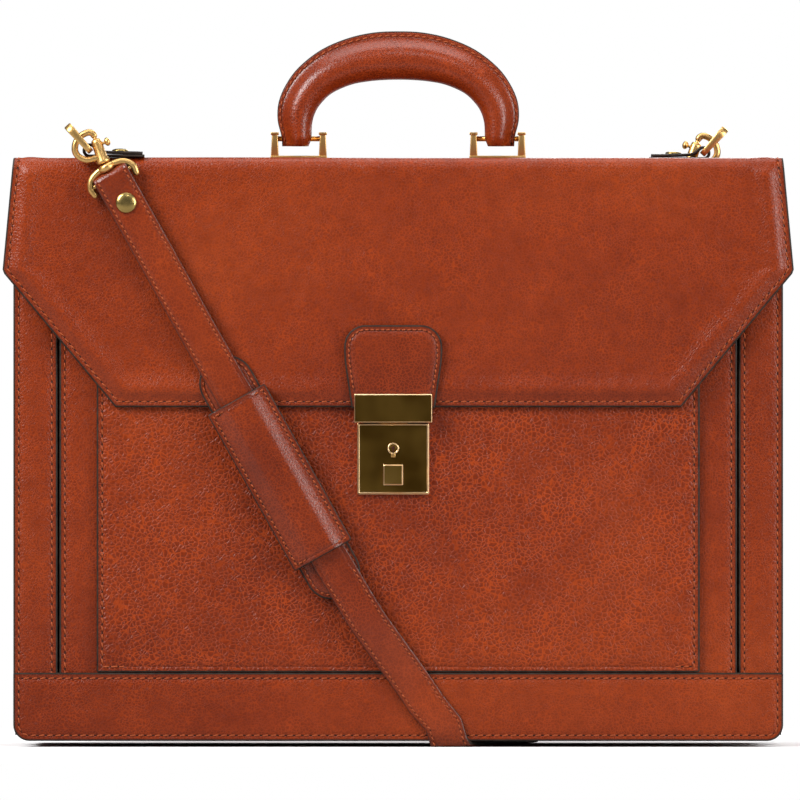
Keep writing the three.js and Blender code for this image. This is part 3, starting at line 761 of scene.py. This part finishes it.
def make_lock():
    tab_low, tab_high = node_box("lock_tab")
    foot_half, half = 23.2, 27.3
    tail_z = FLAP_EDGE_Z - 0.6
    shoulder_z = tab_low[2] + 19
    corners = [(LOCK_X - foot_half, tail_z), (LOCK_X + foot_half, tail_z), (LOCK_X + half, shoulder_z),
               (LOCK_X + half, tab_high[2]), (LOCK_X - half, tab_high[2]), (LOCK_X - half, shoulder_z)]

    def crown(x, z):
        return 0.9 * max(0.0, 1 - ((x - LOCK_X) / 26) ** 2) * max(0.0, 1 - ((z - 212) / 24) ** 2)
    panel("tab", corners, [0.6, 0.6, 60, 12, 12, 60], tab_low[1], LEATHER, STRAPPING, "flap",
          ["lock_tab"], arc=10, along=8, open_below=tab_low[2] + 1, stitch_in=2.6, pitch=2.9, crown=crown)

    low, high = HASP_LOW, HASP_HIGH
    proud = 1.4
    stepped("hasp_plate", outline(low, high), [0.5] * 4, low[1] - proud,
            [(0.0, 0.5, 0), (0.5, 0.0, 0), (0.6, 0.0, 1)], [POLISHED, LOCK_FACE], "flap", ["hasp"],
            proud - 0.05)
    staple = block("staple", (LOCK_X - 8, low[1] + 1, 183), (LOCK_X + 8, high[1], 187), 0.5, BRASS)
    lip = block("lip", (low[0] + 0.3, low[1] - 0.2, low[2] + 0.3),
                (high[0] - 0.3, low[1] + LEATHER, tail_z - 0.3), 0.3, BRASS)
    settle(joined("hasp_staple", [staple, lip]), "flap")

    low, high = LOCK_LOW, LOCK_HIGH
    face_y = low[1]
    stepped("lock_face", outline(low, high), [0.8] * 4, face_y,
            [(0.0, 0.7, 0), (0.7, 0.0, 0), (0.9, 0.0, 0), (1.3, 0.4, 0), (1.6, 0.4, 1)],
            [POLISHED, LOCK_FACE], "root", ["lock_plate"])
    button_low, button_high = node_box("lock_button")
    centre = (button_low[2] + button_high[2]) / 2
    button = outline((LOCK_X - 5.5, 0, centre - 5.8), (LOCK_X + 5.5, 0, centre + 5.8))
    stepped("button", button, [0.5] * 4, face_y - 3.0, [(0.0, 0.7, 0), (0.7, 0.0, 0), (0.75, 0.0, 1)],
            [POLISHED, BUTTON], "button", ["lock_button"], 3.8)

    facing = Matrix.Translation((LOCK_X, face_y, KEY_Z)) @ TO_FRONT
    collar = [(3.3, -0.5), (3.3, 0.4), (2.95, 0.75), (2.5, 0.75), (2.3, 0.3), (2.3, -0.5)]
    settle(turned("escutcheon", collar, POLISHED, facing), "root")
    plug = turned("plug", [(2.2, -0.6), (2.2, 0.25), (1.9, 0.5), (0.0, 0.5)], LOCK_FACE, facing)
    settle(plug, "key_plug", ["key_plug"])
    above = facing @ Matrix.Translation((0, 0.4, 0))
    # painted shade: the keyhole's eye and slot are dark pieces standing for the shade inside the keyhole
    eye = turned("keyhole_eye_shade", [(0.9, 0.2), (0.9, 0.56), (0.0, 0.57)], HOLE_SHADE, above)
    settle(eye, "key_plug")
    slot = block("keyhole_slot_shade", (LOCK_X - 0.45, face_y - 0.57, KEY_Z - 1.9),
                 (LOCK_X + 0.45, face_y - 0.2, KEY_Z + 0.4), 0.1, HOLE_SHADE)
    settle(slot, "key_plug")
    tail = block("escutcheon_tail", (LOCK_X - 1.3, face_y - 0.6, KEY_Z - 5.0),
                 (LOCK_X + 1.3, face_y + 0.6, KEY_Z - 2.8), 0.35, BRASS)
    settle(tail, "root")


# ---- handle ----
def make_handle():
    low, high = node_box("handle_grip")
    foot, top = low[2] + 0.4, high[2]
    outer_half = [(-65.0, foot), (-65.5, 341), (-67.6, 350), (-67.0, 360), (-62.8, 370), (-55.6, 379.6),
                  (-43.3, 389.2), (-28.7, 395.6), (-14.1, top - 0.7), (0, top)]
    inner_half = [(-48.6, foot), (-48.5, 341), (-48.2, 348), (-46.6, 353.8), (-43.4, 359), (-37, 365),
                  (-26.6, 369.6), (-17, 371.5), (-8, 372.3), (0, 372.5)]
    rims = []
    for half in (outer_half, inner_half):
        whole = half + [(-x, z) for x, z in half[-2::-1]]
        rims.append(smooth_path([(x, 0, z) for x, z in whole], 4))
    # each row has the middle and the half height of the grip there
    rows = [((o + n) / 2, (o - n) / 2) for o, n in zip(*rims)]
    # the round of the grip, and then its flat sewn flange with a groove along it
    section = []
    for k in range(25):
        a = math.radians(-152 + 304 * k / 24)
        section.append((-0.2 - 0.8 * math.cos(a), 9.9 * math.sin(a)))
    lip = [(0.66, 3.0), (0.74, 2.3), (0.80, 2.15), (0.95, 2.4), (1.0, 1.9)]
    section += lip + [(r, -y) for r, y in reversed(lip)]
    verts, wear = [], []
    last = len(rows) - 1
    for i, (middle, half) in enumerate(rows):
        pinch = min(1.0, 0.80 + 0.2 * min(i, last - i) / 3)
        for rho, y in section:
            verts.append(middle + half * rho * (pinch if rho < 0.6 else 1) + Vector((0, y * pinch, 0)))
            wear.append(0.8 if rho > 0.97 else (0.35 if 0.7 < rho < 0.85 else 0.0))
    mats = [int(28 <= j < 31) for _ in range(last) for j in range(len(section))] + [1, 1]
    grip = piece("handle", verts, tube(len(rows), len(section)), [STRAPPING, EDGE], mats, burnish=wear)
    settle(grip, "handle", ["handle_grip"])
    paths = [[middle + half * 0.82 + Vector((0, sign * 2.1, 0)) for middle, half in rows[1:-1]]
             for sign in (-1, 1)]
    outs = [[Vector((0, sign, 0))] * (last - 1) for sign in (-1, 1)]
    stitches("handle_stitching", paths, outs, "handle", pitch=4.2)

    for side in ("left", "right"):
        low, high = node_box(f"handle_bracket_{side}")
        parts = [block("base", low, (high[0], high[1], low[2] + 1.6), 0.4, BRASS)]
        for x in (low[0], high[0] - 4.7):
            post = block("post", (x + 0.1, low[1] + 0.6, low[2] + 1.0),
                         (x + 4.6, high[1] - 0.6, high[2] - 0.8), 0.4, BRASS)
            middle, base_z, tall = (x + 2.35) / 1000, low[2] / 1000, (high[2] - low[2]) / 1000
            for v in post.data.vertices:
                v.co.x = middle + (v.co.x - middle) * (1 - 0.30 * (v.co.z - base_z) / tall)
            cap = block("cap", (x + 0.1, low[1], high[2] - 1.5), (x + 4.6, high[1], high[2]), 0.35, BRASS)
            parts += [post, cap]
        settle(joined(f"bracket_{side}", parts), "flap", [f"handle_bracket_{side}"])
        along = Matrix.Translation((low[0] + 0.6, 0, HANDLE_PIN_Z)) @ TO_SIDE
        length = high[0] - low[0] - 1.2
        rod = [(0.0, 0), (1.45, 0.1), (1.45, length - 0.1), (0.0, length)]
        pin = turned(f"pin_{side}", rod, BRASS, along)
        settle(pin, "flap", [f"handle_pin_{side}"])


# ---- strap ends ----
def ribbon(name, path, wide, outs, width, thick, mat, body, nodes):
    """A strap of leather: a rounded, painted-edge section carried along a path."""
    a, b = width / 2, thick / 2
    rounding = [(0.0, 0.45), (0.12, 0.75), (0.6, 1.0)]
    groove = [(1.8, 0.0), (2.3, 0.22), (2.8, 0.0), (5, -0.15)]
    face = [(x - a, -b * y) for x, y in rounding] + [(x - a, y - b) for x, y in groove]
    section = face + [(0, -b - 0.22)] + [(-x, y) for x, y in reversed(face)]
    section += [(a - x, b * y) for x, y in rounding] + [(0, b)]
    section += [(x - a, b * y) for x, y in reversed(rounding)]
    half_wear = [0.9, 0.8, 0.5, 0.15, 0.4, 0.1, 0]
    wear = half_wear + [0] + half_wear[::-1] + [0.9, 0.8, 0.5, 0, 0.5, 0.8, 0.9]
    frames = [(w, -o) for w, o in zip(wide, outs)]
    painted = {0, 13, 14, 15, 20, 21}
    obj = sweep(name, path, [section] * len(path), [mat, EDGE], frames, edges=painted, burnish=wear)
    return settle(obj, body, nodes)


def make_strap_end(side, turn, tilt, parent, strap_body):
    """The chape with its flat ring, the swivel hook and the strap's rivet. Gives the strap's own frame."""
    hook_frame = turn @ Matrix.Translation(HOOK) @ Matrix.Rotation(-HOOK_TILT, 4, "Y")
    bail_frame = turn @ Matrix.Translation(HOOK) @ Matrix.Rotation(-tilt, 4, "Y")
    strap_frame = bail_frame @ Matrix.Translation((0, 0, -PIN_DROP))

    bend = [(-1.0, 3.6), (-4, 4.3), (-8.4, 4.9), (-11.9, 8), (-12.8, 12), (-10.6, 16.3),
            (-6.2, 18.8), (-2.2, 19.0), (-0.4, 17.6), (0, 16.4)]
    loop = wire("loop", [(x, 0, z) for x, z in bend], 1.85, hook_frame)
    barrel = turned("barrel", [(0.0, 0), (3.2, 0), (4.0, 0.8), (3.9, 1.8), (3.1, 3.4), (3.0, 12.2),
                               (2.6, 13.6), (1.6, 14.2), (0.0, 14.2)], BRASS, hook_frame)
    # painted shade: a dark block along the barrel stands for the shade inside its slot
    notch_shade = block("notch_shade", (2.6, -0.8, 3.8), (3.06, 0.8, 12.0), 0.2, HOLE_SHADE, hook_frame)
    settle(joined(f"snap_hook_{side}", [loop, barrel, notch_shade]), f"hook_{side}", [f"hook_{side}"])

    catch_z = 10.6
    bolt = turned("bolt", [(0.0, 9), (1.2, 9), (1.2, 15.2), (0.9, 15.6), (0.0, 15.7)], BRASS, hook_frame)
    stem = wire("stem", [(x, 0, catch_z) for x in (1.5, 3, 4.6)], 0.85, hook_frame)
    ball = [(2.4 * math.sin(math.pi * i / 12), -1.7 * math.cos(math.pi * i / 12)) for i in range(13)]
    knob_frame = hook_frame @ Matrix.Translation((5.8, 0, catch_z)) @ TO_SIDE
    knob = turned("knob", ball, BRASS, knob_frame)
    settle(joined(f"thumb_catch_{side}", [bolt, stem, knob]), f"trigger_{side}", [f"trigger_{side}"])

    arm = 13.2
    half_arch = [(arm, -13.2), (arm + 0.3, -9), (10.6, -4.9), (6, -3.0)]
    arch = wire("arch", [*[(-x, 0, z) for x, z in half_arch], (0, 0, -2.5),
                         *[(x, 0, z) for x, z in reversed(half_arch)]], 1.9, bail_frame)
    collar = turned("collar", [(0.0, -5.2), (3.0, -5.2), (4.2, -4.5), (4.9, -3.3), (4.9, -1.9), (4.2, -1.0),
                               (2.0, -0.4), (0.0, -0.4)], BRASS, bail_frame)
    settle(joined(f"swivel_{side}", [arch, collar]), parent, [f"bail_{side}"])
    bar = wire(f"cross_bar_{side}", [(x, 0, FOLD_UP - PIN_DROP) for x in (-arm, 0, arm)], 1.15, bail_frame)
    settle(bar, parent, [f"bail_pin_{side}"])

    # the flat ring, its strip standing across the ring's own plane, lighter where the chape holds it
    lift = turn @ Matrix.Translation(BAR) @ Matrix.Rotation(RING_TILT, 4, "Y")
    spin = lift.to_3x3()
    half, reach = 18.0, 17.4
    strip = [(-1, -1.3), (-0.75, -1.7), (0.75, -1.7), (1, -1.3)]
    strip += [(-x, -y) for x, y in strip]
    path, frames, sections = [], [], []
    for cx, cy, r, start in ((half - 3, 3, 3, -90), (half - 4, reach - 4, 4, 0), (4 - half, reach - 4, 4, 90),
                             (3 - half, 3, 3, 180)):
        for k in range(7):
            a = math.radians(start + 90 * k / 6)
            c, s = math.cos(a), math.sin(a)
            path.append(lift @ Vector((-cy - r * s, cx + r * c, 0)))
            frames.append(((spin @ Vector((-s, c, 0))).normalized(), (spin @ Vector((0, 0, 1))).normalized()))
            heavier = 1.25 if cy + r * s > 4 else 1.0
            sections.append([(x * heavier, y * heavier) for x, y in strip])
    ring = sweep(f"flat_ring_{side}", path, sections, [BRASS], frames, closed=True)
    ring.data.set_sharp_from_angle(angle=math.radians(35))
    settle(ring, f"ring_{side}", [f"ring_{side}"])

    # the chape is a short strip, folded round the ring's bar; its piece is named tab
    line = [(BAR.x + x, TOP_Z + 1.1) for x in (30.5, 18, 6)]
    for k in range(9):
        a = math.radians(-90 - 205 * k / 8)
        line.append((BAR.x + 3.05 * math.cos(a), BAR.z + 3.05 * math.sin(a)))
    line += [(BAR.x + x, TOP_Z + rise) for x, rise in ((5.2, 3.9), (10, 3.0), (20, 2.8), (29.5, 2.6))]
    path = smooth_path([(x, BAR.y, z) for x, z in line], 3)
    spin = turn.to_3x3()
    outs = []
    for i in range(len(path)):
        t = (path[min(i + 1, len(path) - 1)] - path[max(i - 1, 0)]).normalized()
        outs.append(spin @ Vector((-t.z, 0, t.x)))
    ribbon(f"tab_{side}", [turn @ p for p in path], [spin @ Vector((0, 1, 0))] * len(path), outs, 18, 1.5,
           CHAPE, parent, [f"chape_{side}"])
    stud_frame = turn @ Matrix.Translation((BAR.x + 17, BAR.y, TOP_Z + 3.6))
    stud = turned(f"stud_{side}", [(4.6, 0), (4.6, 0.5), (4.1, 1.0), (2.6, 1.45), (0.0, 1.6)], ANTIQUE,
                  stud_frame)
    settle(stud, parent, [f"chape_rivet_{side}"])
    face = strap_frame @ Matrix.Translation((0, -STRAP_T - 0.2, -13)) @ TO_FRONT
    rivet = turned(f"rivet_{side}", [(5.8, 0), (5.8, 0.5), (5.4, 1.1), (4.2, 1.7), (2.2, 2.1), (0.0, 2.2)],
                   ANTIQUE, face)
    settle(rivet, strap_body, [f"strap_rivet_{side}"])
    return strap_frame


def ease(s, start, end):
    t = min(1.0, max(0.0, (s - start) / (end - start)))
    return t * t * (3 - 2 * t)


def swing(s):
    """Sideways drift of the front strap, first inside the pad's sleeve and then towards the bottom."""
    return 0.3 * DRIFT * ease(s, 150, 240) + 0.7 * DRIFT * ease(s, 262, 350)


def fold_path(frame, run, drift=None):
    """The strap's middle line from its short end behind, round the cross bar and down: its points, outward
    directions and direction across. run holds (distance down, y) in front, and drift swings it aside."""
    line = [(38, 1.5), (24, 1.5), (12, 1.6), (3, 2.3)]
    for k in range(9):
        a = math.pi * k / 8
        line.append((-FOLD_UP - 2.75 * math.sin(a), 2.75 * math.cos(a)))
    line += [(3, -2.4), (12, -1.6), (26, -1.4), *run]
    points = smooth_path([(drift(s) if drift else 0, y, -s) for s, y in line], 3)
    outs = []
    for i in range(len(points)):
        t = (points[min(i + 1, len(points) - 1)] - points[max(i - 1, 0)]).normalized()
        outs.append(Vector((0, t.z, -t.y)))
    spin = frame.to_3x3()
    return [frame @ p for p in points], [spin @ o for o in outs], spin @ Vector((1, 0, 0))


def strap_run(name, frame, run, corner, under, body, nodes, skip=(1e9, 1e9), drift=None):
    """One strap, down from its hook, round the bag's bottom corner and under it. Nothing is sewn under the bag
    or between the two distances in skip."""
    path, outs, wide = fold_path(frame, run, drift)
    wides = [wide] * len(path)
    start = len(path)
    for p, o, w in corner + under:
        path.append(Vector(p))
        outs.append(Vector(o).normalized())
        wides.append(Vector(w).normalized())
    ribbon(name, path, wides, outs, STRAP_W, STRAP_T, STRAPPING, body, nodes)
    runs, sides = [], []
    inset = STRAP_W / 2 - 2.3
    begin = next(i for i, o in enumerate(outs) if (frame.to_3x3().inverted() @ o).y < -0.9)
    for sign in (-1, 1):
        for keep in (lambda s: s < skip[0], lambda s: s > skip[1]):
            chosen = [i for i in range(begin, start + len(corner))
                      if keep((path[i] - frame.translation).length)]
            if len(chosen) > 3:
                lift = STRAP_T / 2 - 0.2
                runs.append([path[i] + wides[i] * (sign * inset) + outs[i] * lift for i in chosen])
                sides.append([outs[i] for i in chosen])
    stitches(name + "_stitching", runs, sides, body, STRAP_PITCH)


def make_strap():
    half_turn = Matrix.Rotation(math.pi, 4, "Z")
    front = make_strap_end("left", Matrix.Identity(4), FRONT_TILT, "flap", "flap")
    back = make_strap_end("right", half_turn, BACK_TILT, "root", "root")

    low_y = SLIP_LOW[1] - GAP - STRAP_T / 2 - HOOK.y
    run = [(45, -0.6), *[(s, -0.25) for s in (60, 120, 200, 272)], (290, 0.8), (308, 3.6), (322, 5.5),
           (332, low_y), (338, low_y)]
    foot = front @ Vector((DRIFT, low_y, -338))
    wide = front.to_3x3() @ Vector((1, 0, 0))
    face = SLIP_LOW[1] - GAP - STRAP_T / 2
    end_x = 67.6
    corner = [((foot.x + 5.0, face, foot.z - 6.5), (0, -1, 0), wide.lerp(Vector((1, 0, 0)), 0.15)),
              ((foot.x + 9.4, face + 0.2, foot.z - 11.5), (0, -1, -0.1), wide.lerp(Vector((1, 0, 0)), 0.4)),
              ((foot.x + 12.4, face + 1.1, 2.6), (0, -0.85, -0.6), (0.97, -0.10, 0.2)),
              ((foot.x + 14.2, face + 3.0, 1.5), (0, -0.35, -1), (0.96, -0.22, 0.04))]
    base_x = foot.x + 16
    under = []
    for k in range(1, 9):
        t = k / 8
        x = base_x + (end_x - 2 - base_x) * t
        under.append(((x, -60 + 118 * t, STRAP_T / 2), (0, 0, -1), (0.955, -0.29, 0)))
    strap_run("strap_front", front, run, corner, under, "strap", ["strap_front_run", "strap_under_run"],
              skip=(PAD_S - 50, PAD_S + 50), drift=swing)

    back_y = -HALF_D - GAP - STRAP_T / 2 - HOOK.y
    back_run = [(45, 0.6), (60, 1.8), *[(s, back_y) for s in (80, 140, 220, 300, 312)]]
    foot = back @ Vector((0, back_y, -312))
    wide = back.to_3x3() @ Vector((1, 0, 0))
    corner = [((foot.x - 2.0, foot.y, foot.z - 7), (0, 1, 0), wide),
              ((foot.x - 2.6, foot.y - 1.1, 2.5), (0, 0.8, -0.6), (-0.99, 0.1, 0)),
              ((foot.x - 3.0, foot.y - 3.2, 1.4), (0, 0.3, -1), (-0.96, 0.25, 0))]
    under = [((foot.x - 4.0, foot.y - 7, STRAP_T / 2), (0, 0, -1), (-0.955, 0.29, 0)),
             ((foot.x - 5.0, foot.y - 10.5, STRAP_T / 2), (0, 0, -1), (-0.955, 0.29, 0))]
    strap_run("strap_rear", back, back_run, corner, under, "root", ["strap_back_run"])

    def centred(half_width, half_length):
        return outline((-half_width, 0, -PAD_S - half_length), (half_width, 0, half_length - PAD_S))
    panel("pad_underside", centred(15.5, 75.5), [15.2] * 4, 1.3, 2.5, STRAPPING, "strap",
          ["pad_base"], place=front, arc=10, along=10, stitch_in=2.4, pitch=STRAP_PITCH)
    half_length = 49.8
    profile = [(0.0, 3.4), (0.0, 0.7), (0.15, 0.3), (0.5, 0.06), (1.0, 0.0), (1.9, 0.0), (2.3, 0.14),
               (2.6, 0.24), (2.9, 0.14), (3.3, 0.0), (4.5, -0.1)]
    profile += [(d, -0.15) for d in (6, 7.5, 9, 10.5, 12, 14, 16)]

    def dome(x, z):
        swell_up = 2.9 * (1 - ease(abs(x), 6.5, 14.5))
        return swell_up + 0.5 * max(0.0, 1 - (x / 10) ** 2) + 0.15 * math.sin(z / 11)
    sewn = [(sign, 1 - PAD_S - half_length, half_length - PAD_S - 1, 10) for sign in (-1, 1)]
    sleeve = panel("pad_cover", centred(18.2, half_length), [1.2] * 4, -2.3, 3.4, STRAPPING, "strap",
                   ["pad_sleeve"], place=front, crown=dome, arc=4, along=24, profile=profile,
                   stitch_in=2.6, pitch=STRAP_PITCH, sides=sewn)


# ---- CAD nodes that keep their own shape ----
def dress_nodes():
    for node in ("handle_bar", "lock_case", "lock_catch"):
        obj = frame["nodes"][node]
        obj.data.materials.clear()
        obj.data.materials.append(STEEL)


# ---- studio, in metres ----
BAG_MIDDLE = Vector((0, 0, 0.2))
EYE_Z = 0.193
EYE_X = 0.001
VIEW_WIDTH = 0.4456        # what the camera takes in, side to side, at the front of the bag


def area_light(name, place, size, power):
    data = bpy.data.lights.new(name, "AREA")
    data.shape = "RECTANGLE"
    data.size, data.size_y = size
    data.energy = power
    obj = bpy.data.objects.new(name, data)
    obj.location = place
    obj.rotation_euler = (BAG_MIDDLE - Vector(place)).to_track_quat("-Z", "Y").to_euler()
    bpy.context.scene.collection.objects.link(obj)


def split_view(tree, others, camera, output):
    """Shows one shader to the camera and another to every other ray."""
    ray = tree.nodes.new("ShaderNodeLightPath")
    both = tree.nodes.new("ShaderNodeMixShader")
    tree.links.new(ray.outputs["Is Camera Ray"], both.inputs[0])
    tree.links.new(others.outputs[0], both.inputs[1])
    tree.links.new(camera.outputs[0], both.inputs[2])
    tree.links.new(both.outputs[0], tree.nodes[output].inputs["Surface"])


def make_floor():
    """A white floor that fades into the white behind it. Other rays meet a dull one, so the leather stays deep."""
    mat, tree, shader, coords = material("studio_floor")
    shader.inputs["Base Color"].default_value = (0.92, 0.92, 0.92, 1)
    shader.inputs["Roughness"].default_value = 0.9
    glow = tree.nodes.new("ShaderNodeEmission")
    reach = tree.nodes.new("ShaderNodeVectorMath")
    reach.operation = "LENGTH"
    tree.links.new(coords, reach.inputs[0])
    fade = ramp(tree, reach.outputs["Value"], [(0.30, (0, 0, 0)), (0.62, (1, 1, 1))])
    seen = tree.nodes.new("ShaderNodeMixShader")
    tree.links.new(fade, seen.inputs[0])
    tree.links.new(shader.outputs[0], seen.inputs[1])
    tree.links.new(glow.outputs[0], seen.inputs[2])
    dull = tree.nodes.new("ShaderNodeBsdfDiffuse")
    dull.inputs["Color"].default_value = (0.40, 0.39, 0.38, 1)
    split_view(tree, dull, seen, "Material Output")
    size, z = 6000, -0.3
    piece("floor", [(-size, -size, z), (size, -size, z), (size, size, z), (-size, size, z)],
                   [(0, 1, 2, 3)], [mat])


def make_studio():
    make_floor()
    world = bpy.data.worlds.new("studio")
    bpy.context.scene.world = world
    world.use_nodes = True
    tree = world.node_tree
    light = tree.nodes["Background"]
    light.inputs["Color"].default_value = (0.86, 0.88, 0.92, 1)
    light.inputs["Strength"].default_value = 0.15
    white = tree.nodes.new("ShaderNodeBackground")
    white.inputs["Color"].default_value = (1, 1, 1, 1)
    white.inputs["Strength"].default_value = 1.0
    split_view(tree, light, white, "World Output")
    area_light("key", (-1.35, -0.95, 1.35), (0.8, 1.0), 52)
    area_light("fill", (1.6, -0.85, 0.55), (0.6, 1.2), 26)
    area_light("front", (0.3, -2.0, 2.2), (0.8, 0.5), 8)
    area_light("sheen", (1.15, -1.6, 0.95), (0.22, 0.9), 5)
    area_light("top", (0.0, 0.1, 1.6), (1.4, 0.8), 13)
    area_light("behind", (0.6, 1.6, 0.9), (1.2, 1.0), 18)

    camera = bpy.data.cameras.new("camera")
    camera.lens = 900
    camera.sensor_width = 36
    eye = bpy.data.objects.new("camera", camera)
    eye.location = (EYE_X, -HALF_D / 1000 - VIEW_WIDTH * camera.lens / camera.sensor_width, EYE_Z)
    eye.rotation_euler = (math.radians(90), 0, 0)
    bpy.context.scene.collection.objects.link(eye)
    bpy.context.scene.camera = eye
    bpy.context.scene.view_settings.view_transform = "Standard"


make_studio()
make_hide()
make_panels()
make_gussets()
make_lock()
make_handle()
make_strap()
dress_nodes()
